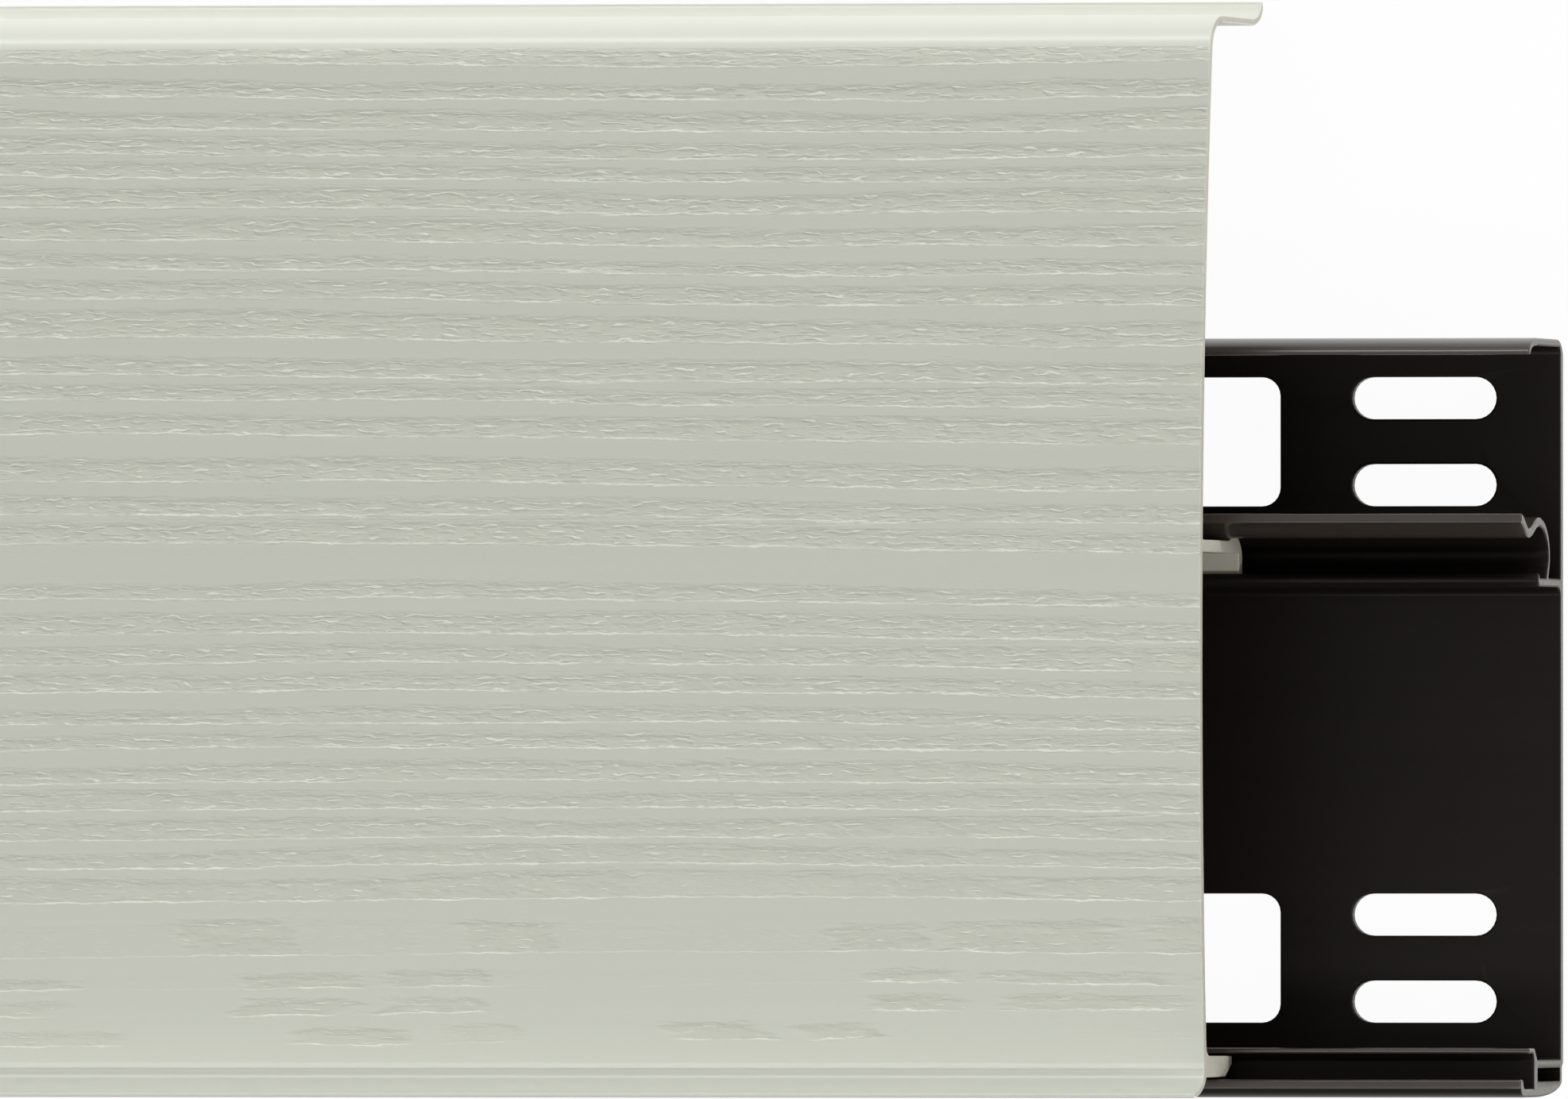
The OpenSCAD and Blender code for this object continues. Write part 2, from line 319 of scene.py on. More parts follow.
def coverSection():
    s, gap = cover, board["clipGap"]
    top, flangeTop = board["height"], board["height"] - s["lipRise"]
    toeHeight, toeDepth = s["toeHeight"], board["depth"] - faceAt(s["toeHeight"])
    slope = (cornerHeight - s["bulgeHeight"]) / s["bulgeRadius"]
    lean = np.degrees(np.arctan(slope * s["cornerRise"] / s["cornerRun"]))
    innerRise, innerRun = s["cornerRise"] - s["flangeWall"], s["cornerRun"] - s["wall"]
    innerLean = np.degrees(np.arctan(slope * innerRise / innerRun))
    leanRise, leanRun = s["cornerRise"] * sin(radians(lean)), s["cornerRun"] * cos(radians(lean))
    cornerDepth = faceAt(cornerHeight + leanRise) - leanRun
    armTop = mouthTop - gap
    armFoot, armCrest = bumpDepth - 2 * gap, bumpDepth - 0.6 * board["catchWave"]
    hookBack = peakDepth - gap - s["hookLip"]
    ribEnd = board["boxReach"] + 2 * gap
    ribRoot, filletRun = ribTop + s["ribFillet"], 3 * s["ribFillet"]
    ribInside = faceAt(ribRoot) - s["wall"]
    toeCut = degrees(asin((toeHeight - ribBottom) / toeHeight))
    seam = np.array([[toeHeight, faceAt(toeHeight)],
                     [toeHeight + s["seamWidth"] / 2, faceAt(toeHeight) - s["seamDepth"]],
                     [toeHeight + s["seamWidth"], faceAt(toeHeight + s["seamWidth"])]])
    return joinStretches([
        (soft, curve([toeHeight, board["depth"]], [toeHeight - s["toeTip"], toeDepth], -90, -180, 12)),
        (soft, seam),
        (face, faceLine(toeHeight + s["seamWidth"], cornerHeight, s["faceRows"])),
        (smooth, curve([cornerHeight, cornerDepth], [s["cornerRise"], s["cornerRun"]], lean, 90, 14)),
        (smooth, [flangeTop, s["lipRun"] + 1.5]),
        (soft, curve([top, s["lipRun"]], [s["lipRise"], s["lipRun"] - s["flangeWall"]], -90, -180, 10)),
        (soft, [top, 0]),
        (soft, curve([top - s["lipEdge"], s["lipRun"]],
                     [s["lipRise"] - s["lipEdge"] + s["flangeWall"], s["lipRun"]], -180, -90, 8)),
        (core, curve([cornerHeight, cornerDepth], [innerRise, innerRun], 90, innerLean, 8)),
        (core, faceLine(cornerHeight, armTop, 8, s["wall"])),
        (core, wave([armTop, armFoot], [armTop + s["hookBump"], armCrest], 6)),
        (core, curve([armTop - s["hookNose"], armCrest], [s["hookNose"] + s["hookBump"], armCrest - hookBack],
                     90, 180, 8)),
        (core, [[ledgeTop + gap, hookBack], [ledgeTop + gap, hookBack + s["hookLip"]],
                [armTop - s["hookWall"], hookBack + s["hookLip"]]]),
        (core, faceLine(armTop - s["hookWall"], ribRoot, 8, s["wall"])),
        (core, curve([ribRoot, ribInside - filletRun], [s["ribFillet"], filletRun], 0, -90, 5)),
        (core, [[ribTop, ribEnd], [ribBottom + s["ribSlope"], ribEnd],
                [ribBottom, ribEnd + 3 * s["ribSlope"]]]),
        (soft, curve([toeHeight, board["depth"]], [toeHeight, toeDepth + s["wall"]], toeCut - 180, -90, 8))])


# Embossed wood grain: sunk bands with a wrinkled floor, a soft upper edge and a crisp lower edge
grain = {
    "seed": 11,
    "bands": 60,  # drawn, of which those on the face are kept
    "pitch": (1.5, 2.2),  # mm from one band to the next
    "wideShare": 0.1,  # of the bands are half as wide again
    "width": (0.42, 0.62),  # of the pitch
    "ridge": 0.56,  # mm, least width of the land between two bands
    "drift": 0.5,  # mm that neighbouring bands wander together
    "driftWaves": (90, 420),  # mm, their lengths along the board
    "wander": 0.05,  # mm that each band wanders by itself
    "wanderWaves": (16, 60),  # mm
    "swell": 0.12,  # of its width that each band widens by
    "swellWaves": (25, 110),  # mm
    "plainBand": (33.4, 35.6),  # mm, a smooth stretch at mid height
    "patchTop": 25.0,  # mm, below which the grain comes in patches
    "faintBelow": 5.0,  # mm, below which few patches are left
}


def grainField(x, height):
    # Bands run along the board. Each has a lower and an upper edge: its own height, plus sine waves along the
    # board that neighbours share, plus sine waves of its own. A point's depth in its band is the distance to
    # the nearer edge, and the side is 1 at the lower edge and -1 at the upper one. Strength falls with height
    # near the foot
    s, rng = grain, np.random.default_rng(grain["seed"])
    pitch = rng.uniform(*s["pitch"], s["bands"])
    pitch = pitch * np.where(rng.random(s["bands"]) < s["wideShare"], 1.5, 1.0)
    width = pitch * rng.uniform(*s["width"], s["bands"])
    low = cover["grainTop"] - np.cumsum(pitch) + pitch - width
    middle = low + width / 2
    keep = (low > cover["toeHeight"] + 0.6) & ((middle < s["plainBand"][0]) | (middle > s["plainBand"][1]))
    low, width = low[keep], width[keep]
    count = len(low)
    along = x[:, None, None]
    waves = rng.uniform(*s["driftWaves"], 4)
    shared = np.sin(2 * pi * along / waves + rng.uniform(0, 2 * pi, 4) + 0.06 * low[None, :, None])
    waves = rng.uniform(*s["wanderWaves"], (count, 3))
    own = np.sin(2 * pi * along / waves + rng.uniform(0, 2 * pi, (count, 3)))
    waves = rng.uniform(*s["swellWaves"], (count, 2))
    swell = np.sin(2 * pi * along / waves + rng.uniform(0, 2 * pi, (count, 2)))
    lower = low + s["drift"] * shared.mean(2) * 2 + s["wander"] * own.sum(2)
    upper = lower + width * (1 + s["swell"] * swell.sum(2))
    upper[:, 1:] = np.minimum(upper[:, 1:], lower[:, :-1] - s["ridge"])
    strength = np.clip((low - s["faintBelow"]) / (s["patchTop"] - s["faintBelow"]), -0.3, 1)
    strength = np.broadcast_to(strength, (len(x), count))
    depth = np.minimum(height[None, :, None] - lower[:, None], upper[:, None] - height[None, :, None])
    nearest = depth.argmax(2)
    pick = np.arange(len(x))[:, None]
    inBand = depth.max(2)
    fromLow = height[None] - lower[pick, nearest]
    side = 1 - 2 * np.clip(fromLow / (upper - lower)[pick, nearest], 0, 1)
    return inBand, side, strength[pick, nearest]


def smoothStep(low, high, value):
    # 0 below low and 1 above high, with a cubic between them that is level at both ends
    t = np.clip((value - low) / (high - low), 0, 1)
    return t * t * (3 - 2 * t)


# Finish of the embossed skin. Sizes of a pattern are (along, up, out). All lengths are mm
skinFinish = {
    "land": ("#B6B8AD", "#BABCB1"),
    "streaks": (70, 1.1, 60),
    "corner": "#C8CABF",  # the smooth skin, lighter than the land as painted light on the rounded corner; the land runs out into it
    "runOut": (-1.5, -0.3),  # from the top of the grain
    # painted shade: the sunk bands are tinted darker
    "sunk": "#B2B1A3",
    "sunkShadeShare": 0.2,
    "paintedHighlight": "#E2E4DA",  # painted highlight on the crests of the wrinkles and the bands' lower edges
    "highlightShare": 0.5,
    "crestFrom": 0.8,  # of a wrinkle's height
    "crestShare": 0.7,
    "highlightStretches": (5, 1.2, 8),
    "roughness": 0.42,
    "dulling": 0.10,  # roughness that the bands add
    "ragged": (1.8, 0.45, 8),
    "raggedBy": (0.8, 0.42),  # at a band's upper edge and at its lower edge, as in the next two lines
    "slopeFrom": (-0.28, -0.03),
    "slopeTo": (0.24, 0.10),
    "depth": (-0.07, -0.12),
    "depthPatches": (2.4, 1.2, 8),
    "patchLength": 9,
    "patchRows": 7.0,  # from no strength to full strength
    "patchShift": 7.37,  # patch lengths from one row to the next
    "patchDrift": (35, 900, 900),
    "patchEnds": (60, 1.0, 8),
    "betweenPatches": 0.55,  # of full strength
    "wrinkleHeight": 0.36,
    "wrinkleFall": 0.17,  # of the height, in which it falls back
    "wrinkleDepth": 0.056,
    "wrinkleWander": (2.0, 0.8, 8),
    "wrinkleLength": (1.2, 0.32, 8),
    "creaseDepth": 0.015,
    "creases": (0.7, 0.2, 8),
    "poreDepth": 0.009,
    "pores": (0.35, 0.16, 0.5),
}


def pressedPatches(add, coords, along, strength):
    # Towards the foot the roller pressed only in patches, two bands high and with ragged upright ends. Each
    # patch has one random value, and is pressed where the strength passes it. Between them it is faint
    s = skinFinish
    row = add("Math", (add("Math", (strength, s["patchRows"]), **times)[0],), **whole)[0]
    shift = add("Math", (row, s["patchShift"]), **times)[0]
    place = add("Math", (along, 1000 / s["patchLength"], shift), **timesPlus)[0]
    place = add("Math", (scaledNoise(add, coords, s["patchDrift"], 1.0), 2.5, place), **timesPlus)[0]
    place = add("Math", (scaledNoise(add, coords, s["patchEnds"], 2.0, 0.6), 0.6, place), **timesPlus)[0]
    cell = add("CombineXYZ", (add("Math", (place,), **whole)[0], row))[0]
    chance = add("TexWhiteNoise", {"Vector": cell}, noise_dimensions="2D")["Value"]
    reach = add("Math", (strength, 0.85, 0.7), **timesPlus)[0]
    pressed = add("MapRange", (add("Math", (reach, chance), **minus)[0], 0.0, 0.35), **eased)[0]
    part = add("Math", (place,), **fraction)[0]
    toEnd = add("Math", (part, add("Math", (1.0, part), **minus)[0]), **least)[0]
    toEnd = add("Math", (strength, 0.3, toEnd), **timesPlus)[0]
    pressed = add("Math", (pressed, add("MapRange", (toEnd, 0.05, 0.22), **eased)[0]), **times)[0]
    faint = add("MapRange", (strength, -0.1, 0.45), **eased)[0]
    faint = add("Math", (faint, s["betweenPatches"]), **times)[0]
    return add("Math", (pressed, faint), **most)[0]


def bandWrinkles(add, coords, up, strength):
    # Wrinkles on a band's floor: a saw wave up the board whose phase wanders with noise. Each tooth rises
    # slowly and falls back quickly, and teeth fade in and out along the board. Fine creases lie over them
    s = skinFinish
    wander = scaledNoise(add, coords, s["wrinkleWander"], 2.0, 0.55)
    wander = add("Math", (wander, 2.2), **times)[0]
    phase = add("Math", (up, 1000 / s["wrinkleHeight"], wander), **timesPlus)[0]
    tooth = add("Math", (phase,), **fraction)[0]
    rise = add("Math", (tooth, 1 / (1 - s["wrinkleFall"])), **times)[0]
    fall = add("Math", (add("Math", (1.0, tooth), **minus)[0], 1 / s["wrinkleFall"]), **times)[0]
    saw = add("Math", (rise, fall), **least)[0]
    more = add("MapRange", (strength, 0.0, 1.1), **eased)[0]
    fade = add("Math", (more, 0.10, scaledNoise(add, coords, s["wrinkleLength"], 1.0)), **timesPlus)[0]
    fade = add("MapRange", (fade, 0.57, 0.68), **eased)[0]
    wrinkles = add("Math", (saw, add("Math", (fade, s["wrinkleDepth"]), **times)[0]), **times)[0]
    creases = scaledNoise(add, coords, s["creases"], 2.0)
    wrinkles = add("Math", (creases, s["creaseDepth"], wrinkles), **timesPlus)[0]
    share = add("Math", (add("MapRange", (strength, 0.3, 1.0), **eased)[0], 0.5, 0.5), **timesPlus)[0]
    return add("Math", (wrinkles, share), **times)[0], tooth, fade


def embossedSkin():
    # PVC with an embossed, lacquered skin: a satin sheen on the land, duller in the sunk bands
    s = skinFinish
    skin, add, shader = newMaterial("embossed PVC skin", "#BBBDB2", s["roughness"], 1.53, 0.35)
    skin.cycles.use_bump_map_correction = False  # it would dim the fine relief under low light
    coords = add("TexCoord", ())["Object"]
    along, up = add("SeparateXYZ", (coords,))[:2]
    field = add("Attribute", (), attribute_name="grain")["Vector"]
    inBand, side, strength = add("SeparateXYZ", (field,))
    # The ragged edges of a band: a soft slope over its upper edge, a crisp step at its lower one
    raggedBy, slopeFrom, slopeTo = (add("MapRange", (side, -0.5, 0.5, *s[key]))[0]
                                    for key in ("raggedBy", "slopeFrom", "slopeTo"))
    ragged = add("Math", (scaledNoise(add, coords, s["ragged"], 3.0, 0.65), 0.5), **minus)[0]
    inBand = add("Math", (ragged, raggedBy, inBand), **timesPlus)[0]
    sunk = add("MapRange", (inBand, slopeFrom, slopeTo), **eased)[0]
    # Mask of a band's lower edge, which only carries the pale painted highlight
    edge = add("Math", (sunk, add("Math", (1.0, sunk), **minus)[0]), **times)[0]
    edge = add("Math", (edge, add("MapRange", (side, 0.0, 0.5), **eased)[0]), **times)[0]
    edge = add("Math", (edge, 4.0), **times)[0]
    pressed = pressedPatches(add, coords, along, strength)
    sunk = add("Math", (sunk, pressed), **times)[0]
    floor = add("Math", (add("MapRange", (inBand, -0.12, 0.05), **eased)[0], pressed), **times)[0]
    wrinkles, tooth, fade = bandWrinkles(add, coords, up, strength)
    deep = scaledNoise(add, coords, s["depthPatches"], 2.0)
    deep = add("MapRange", (deep, 0.40, 0.60, *s["depth"]))[0]
    relief = add("Math", (deep, sunk, add("Math", (wrinkles, floor), **times)[0]), **timesPlus)[0]
    pores = scaledNoise(add, coords, s["pores"], 2.0)
    relief = add("Math", (pores, s["poreDepth"], relief), **timesPlus)[0]
    # The land is faintly streaked, and runs out softly into the lighter smooth skin of the corner, painted
    # light that grows towards the corner
    streak = scaledNoise(add, coords, s["streaks"], 2.0)
    land = add("Mix", {0: streak, 6: linear(s["land"][0]), 7: linear(s["land"][1])}, **colours)[2]
    under = [(cover["grainTop"] + h - board["height"] / 2) * mm for h in s["runOut"]]
    corner = add("MapRange", (up, *under), **eased)[0]
    land = add("Mix", {0: corner, 6: land, 7: linear(s["corner"])}, **colours)[2]
    # The sunk bands are tinted darker: painted shade in the recesses
    share = add("Math", (sunk, s["sunkShadeShare"]), **times)[0]
    tint = add("Mix", {0: share, 6: land, 7: linear(s["sunk"])}, **colours)[2]
    # The crests of the wrinkles and the bands' lower edges are tinted pale: a painted highlight where light
    # from above catches them
    crest = add("Math", (tooth, s["crestFrom"]), operation="GREATER_THAN")[0]
    crest = add("Math", (crest, add("Math", (fade, floor), **times)[0]), **times)[0]
    crest = add("Math", (crest, s["crestShare"]), **times)[0]
    broken = scaledNoise(add, coords, s["highlightStretches"], 2.0)
    broken = add("MapRange", (broken, 0.38, 0.55), **eased)[0]
    edge = add("Math", (add("Math", (edge, pressed), **times)[0], broken), **times)[0]
    highlightMask = add("Math", (add("Math", (crest, edge), **most)[0], s["highlightShare"]), **times)[0]
    tint = add("Mix", {0: highlightMask, 6: tint, 7: linear(s["paintedHighlight"])}, **colours)[2]
    wireShader(add, shader, relief, tint)
    dull = add("Math", (sunk, s["dulling"], s["roughness"]), **timesPlus)[0]
    shader.id_data.links.new(dull, shader.inputs["Roughness"])
    return skin


def smoothSkin():
    # The same PVC where the embossing roller doesn't reach: even and a little glossier, and painted lighter
    # than the land as light falling on the rounded corner
    plain, add, shader = newMaterial("smooth PVC skin, painted light", "#C8CABF", 0.36, 1.53, 0.4)
    coords = add("TexCoord", ())["Object"]
    drawn = scaledNoise(add, coords, (60, 0.25, 0.25), 2.0)
    wireShader(add, shader, add("Math", (drawn, 0.004), **times)[0])
    return plain


def softLip():
    # Soft PVC of the two lips: smooth and even, painted lighter on the top lip and darker on the one that
    # touches the floor, as light from above and shade near the floor
    lips, add, shader = newMaterial("soft PVC lip", "#C8CABF", 0.32, 1.52, 0.4)
    coords = add("TexCoord", ())["Object"]
    drawn = scaledNoise(add, coords, (90, 0.3, 0.3), 2.0)
    up = add("SeparateXYZ", (coords,))[1]
    # Painted light and shade: the colour runs from darker at the foot lip to lighter at the top lip
    share = add("MapRange", (up, -20 * mm, 20 * mm))[0]
    tint = add("Mix", {0: share, 6: linear("#BCBEB4"), 7: linear("#CACCC1")}, **colours)[2]
    wireShader(add, shader, add("Math", (drawn, 0.006), **times)[0], tint)
    return lips


def bareCore():
    # Bare PVC of the back and of the sawn ends: matt, with the marks of the saw
    bare, add, shader = newMaterial("bare PVC core", "#B5B1A5", 0.55, 1.53, 0.3)
    coords = add("TexCoord", ())["Object"]
    marks = scaledNoise(add, coords, (40, 0.2, 2.5), 3.0, 0.6)
    cloud = scaledNoise(add, coords, (30, 1.2, 1.2), 3.0)
    tint = add("Mix", {0: cloud, 6: linear("#A9A598"), 7: linear("#C0BCB1")}, **colours)[2]
    wireShader(add, shader, add("Math", (marks, 0.02), **times)[0], tint)
    return bare


def makeCover():
    s = cover
    points, marks = roundCorners(*coverSection(), s["edgeRadius"])
    low, high = -board["length"] / 2, board["length"] / 2 - s["bareLength"]
    columns = np.linspace(low + s["edgeRadius"], high - s["edgeRadius"], s["columns"])
    x, ends = endRings(low, high, columns, s["edgeRadius"])
    inBand, side, strength = grainField(x, points[:, 0])
    onFace = np.isin(marks, (face, smooth)) & (points[:, 0] < s["grainTop"] + s["grainRunOut"])
    strength = np.where((onFace & (points[:, 1] > s["faceFrom"]))[None], strength, 0)
    slope = smoothStep(0, s["grainSlope"], inBand)
    relief = s["grainDepth"] * slope * np.clip(2 * strength - 0.5, 0, 1)
    vertices = carry(points, x, relief + ends[:, None])
    sides = tubeFaces(len(x), len(points))
    last = vertices.reshape(len(x), len(points), 3)[-1, :, 1:]
    cap = fillLoops([last])
    final = (len(x) - 1) * len(points)
    faces = sides.reshape(-1, 4).tolist() + (cap + final).tolist() + cap[:, ::-1].tolist()
    indices = np.concatenate([np.broadcast_to(marks, sides.shape[:2]).ravel(), np.full(2 * len(cap), core)])
    materials = [bareCore(), embossedSkin(), smoothSkin(), softLip()]
    piece = makePiece("coverStrip", vertices, faces, materials, indices, "cover_strip")
    field = piece.data.attributes.new("grain", "FLOAT_VECTOR", "POINT")
    field.data.foreach_set("vector", np.stack([inBand, side, strength], -1).astype(np.float32).ravel())


makeCover()

# Mounting strip: the black strip that is screwed to the wall
strip = {
    "plateWall": 1.1,
    "topReach": 13.5,
    "topWall": 0.5,
    "topTurn": 1.1,
    "tipRise": 0.95,
    "catchRound": 3.8,
    "ledgeWall": 0.55,
    "nub": 0.3,
    "nubWidth": 0.55,
    "channelReach": 16.7,
    "channelLipWall": 1.0,
    "channelFloor": 0.55,
    "boxHeight": 2.4,
    "boxWall": 1.35,
    "boxRoof": 0.53,
    "boxHollow": 0.87,
    "barbRun": 1.8,
    "barbWall": 0.35,
    "heelStep": 0.5,
    "edgeRadius": 0.12,
    "highlightZoneRadius": 0.25,
    "hollowRadius": 0.25,
}
# The second mark is the lighter, glossier copy of the black PVC on the parts that stand out: painted
# highlight
matt, paintedHighlight, sawn = range(3)
holes = {
    "pitch": 36.7,
    "margin": 4.2,
    "slotLength": 9.4,
    "slotWidth": 2.7,
    "slotSpread": 5.6,
    "web": 4.7,
    "windowLength": 18,
    "windowCorner": 1.2,
    "rowHeight": 8.3,
    "upperEdge": 2.4,
    "lowerEdge": 4.75,
    "rim": 0.8,  # plain strip above and below a row
    "border": 2.3,  # plain strip at either end of a set
    "edgeRadius": 0.16,
}
rows = [holes["lowerEdge"] + holes["rowHeight"] / 2,
        board["stripTop"] - holes["upperEdge"] - holes["rowHeight"] / 2]
rowReach = holes["rowHeight"] / 2 + holes["rim"]


def offsetLine(path, distance):
    # Each point moves sideways by the distance, square to the chord between its neighbours
    ahead = np.concatenate([path[1:], path[-1:]]) - np.concatenate([path[:1], path[:-1]])
    ahead /= np.linalg.norm(ahead, axis=1, keepdims=True)
    return path + np.stack([-ahead[:, 1], ahead[:, 0]], 1) * distance


def cutAt(path, height):
    # The path down to a height, ending in the point where it passes it
    below = int(np.argmax(path[:, 0] < height))
    a, b = path[below - 1], path[below]
    return np.vstack([path[:below], a + (b - a) * (a[0] - height) / (a[0] - b[0])])


def stripSection():
    s, height = strip, board["stripTop"]
    plate = s["plateWall"]
    heel = s["boxHeight"] - s["boxRoof"] - s["boxHollow"]
    bottom = board["boxReach"] - 1
    lip = board["channelLip"]
    bend = lip / 2
    channel = s["channelReach"] - s["channelLipWall"]
    barbBottom = ribTop + board["clipGap"]
    barbTop, barbEnd = barbBottom + s["barbWall"], board["boxReach"] + s["barbRun"]
    under = ledgeTop - s["ledgeWall"]
    ledgeReach = peakDepth + s["nubWidth"]
    bump, peak = board["catchHeight"], board["catchHeight"] + board["catchPeak"]
    rear = peak - 0.6 * (peak - ledgeTop)
    middle = np.vstack([
        wave([bump + s["tipRise"], board["catchReach"]], [bump, bumpDepth], 14)[:-1],
        wave([bump, bumpDepth], [peak, peakDepth], 14)[:-1],
        curve([rear, peakDepth], [peak - rear, s["catchRound"]], 90, 205, 22),
        [[ledgeTop - s["ledgeWall"] / 2, peakDepth - s["catchRound"] + 1.5 * board["catchWall"]]]])
    inner = cutAt(offsetLine(middle, board["catchWall"] / 2), ledgeTop)
    outer = cutAt(offsetLine(middle, -board["catchWall"] / 2), ledgeTop)
    if inner[len(inner) // 2, 0] > outer[len(outer) // 2, 0]:
        inner, outer = outer, inner
    rowEdges = [[rows[0] - rowReach, plate], [rows[0] + rowReach, plate]]
    upperEdges = [[rows[1] - rowReach, plate], [rows[1] + rowReach, plate]]
    turn = [height - s["topTurn"], s["topReach"] - 3 * s["topTurn"]]
    points, marks = joinStretches([(matt, p) for p in (
        [s["boxHeight"] - 0.3, 0], [s["boxHeight"] - s["boxRoof"], s["heelStep"]],
        curve([heel, bottom], [heel, bottom - s["heelStep"]], 180, 270, 14),
        curve([bend, s["channelReach"] - 2.5 * bend], [bend, 2.5 * bend], -90, 0, 8),
        [lip, s["channelReach"]],
        curve([lip, channel - 1.5 * bend], [lip - s["channelFloor"], 1.5 * bend], 0, -90, 8),
        [[s["channelFloor"], board["boxReach"]], [s["boxHeight"], board["boxReach"]],
         [barbBottom, board["boxReach"] + 0.3], [barbBottom, barbEnd], [barbTop, barbEnd],
         [barbTop, board["boxReach"] - 0.3], [s["boxHeight"], board["boxReach"] - s["boxWall"]],
         [s["boxHeight"], plate]],
        rowEdges,
        curve([under - s["ledgeWall"], plate + 2 * s["ledgeWall"]], [s["ledgeWall"], 2 * s["ledgeWall"]],
              180, 90, 6),
        [[under, ledgeReach - s["ledgeWall"]], [under + s["ledgeWall"] / 2, ledgeReach],
         [ledgeTop, ledgeReach], [ledgeTop + s["nub"], ledgeReach - s["nub"]],
         [ledgeTop + s["nub"], peakDepth], [ledgeTop, peakDepth]],
        inner[::-1], outer,
        [ledgeTop, plate],
        upperEdges,
        curve([height - 2 * s["topWall"], plate + s["topWall"]], [s["topWall"], s["topWall"]], 180, 90, 6),
        curve(turn, [s["topTurn"] - s["topWall"], 3 * s["topTurn"] - 1.5 * s["topWall"]], 90, 0, 12),
        curve(turn, [s["topTurn"], 3 * s["topTurn"]], 0, 90, 14),
        curve([height - s["topTurn"], 2 * s["topTurn"]], [s["topTurn"], 2 * s["topTurn"]], 90, 180, 8),
        [[h, 0] for h, d in upperEdges[::-1] + rowEdges[::-1]])])
    # What stands out furthest takes a lighter, glossier copy of the black PVC, painted highlight where light
    # falls while the recessed plate lies in shade: the fronts of the hook and the catch, the barb and the
    # channel's lip. The lower part of the channel's lip is left out and stays darker, as painted shade
    heights = [points[:, 0] > ledgeTop + 2 * s["nub"], points[:, 0] > under - 0.1, points[:, 0] < 0.9 * bend]
    limit = np.select(heights, [peakDepth, np.inf, np.inf], board["boxReach"] + 0.8)
    marks[points[:, 1] > limit] = paintedHighlight
    low, high = heel, heel + s["boxHollow"]
    hollow = np.array([[low, s["boxWall"]], [high, s["boxWall"]],
                       [high, board["boxReach"] - s["boxWall"]], [low, board["boxReach"] - s["boxWall"]]])
    return points, marks, hollow


def roundedLoop(centre, length, height, radius, grow=0.0, steps=6):
    # A rectangle with rounded corners, anticlockwise, grown outwards: corner centres plus a quarter turn each
    a = (np.arange(4)[:, None] + np.linspace(0, 1, steps + 1)[None]) * pi / 2
    signs = np.array([[1, 1], [-1, 1], [-1, -1], [1, -1]])[:, None]
    corner = signs * (np.array([length, height]) / 2 - radius)
    loop = corner + (radius + grow) * np.stack([np.cos(a), np.sin(a)], -1)
    loop = loop.reshape(-1, 2) + centre
    return loop[np.linalg.norm(loop - np.roll(loop, 1, 0), axis=1) > 1e-6]


def stripHoles(starts):
    # One set of holes is filled and walled once, then repeated at every start. Each hole's edge is a quarter
    # round from the plate's face into its wall, and a small bevel at the back
    s, plate, r = holes, strip["plateWall"], holes["edgeRadius"]
    left, right = -(s["slotLength"] + s["web"] + s["windowLength"]) - s["border"], s["border"]
    verts, quads, triangles = [], [], []
    total = 0
    turn = np.linspace(0, pi / 2, 4)
    deep = np.concatenate([r * (1 - np.cos(turn)), [plate - r / 2, plate]])
    grow = np.concatenate([r * (1 - np.sin(turn)), [0, r / 2]])
    for row in rows:
        shapes = [([-s["slotLength"] / 2, row + side * s["slotSpread"] / 2], s["slotLength"], s["slotWidth"],
                   s["slotWidth"] / 2) for side in (-1, 1)]
        shapes.append(([-s["slotLength"] - s["web"] - s["windowLength"] / 2, row], s["windowLength"],
                       s["rowHeight"], s["windowCorner"]))
        frontLoops = [np.array([[left, row - rowReach], [right, row - rowReach],
                                [right, row + rowReach], [left, row + rowReach]])]
        backLoops = [frontLoops[0]]
        frontIndex, backIndex = [np.arange(4) + total], [np.arange(4) + total + 4]
        verts.append(np.column_stack([frontLoops[0], np.full(4, plate)]))
        verts.append(np.column_stack([frontLoops[0], np.zeros(4)]))
        total += 8
        for shape in shapes:
            rings = [roundedLoop(*shape, g) for g in grow]
            count = len(rings[0])
            for ring, d in zip(rings, deep):
                verts.append(np.column_stack([ring, np.full(count, plate - d)]))
            i, j = np.meshgrid(np.arange(len(rings) - 1), np.arange(count), indexing="ij")
            after = (j + 1) % count
            quads.append((np.stack([i * count + j, i * count + after, (i + 1) * count + after,
                                    (i + 1) * count + j], -1) + total).reshape(-1, 4))
            frontLoops.append(rings[0])
            backLoops.append(rings[-1])
            frontIndex.append(np.arange(count) + total)
            backIndex.append(np.arange(count) + total + (len(rings) - 1) * count)
            total += len(rings) * count
        triangles.append(np.concatenate(frontIndex)[fillLoops(frontLoops)])
        triangles.append(np.concatenate(backIndex)[fillLoops(backLoops)][:, ::-1])
    cell = np.concatenate(verts)
    shift = np.stack([starts, np.full(len(starts), -board["height"] / 2), np.zeros(len(starts))], 1)
    vertices = (cell[None] + shift[:, None]).reshape(-1, 3)
    step = (np.arange(len(starts)) * len(cell))[:, None, None]
    return (vertices, (np.concatenate(quads)[None] + step).reshape(-1, 4),
            (np.concatenate(triangles)[None] + step).reshape(-1, 3), left, right)


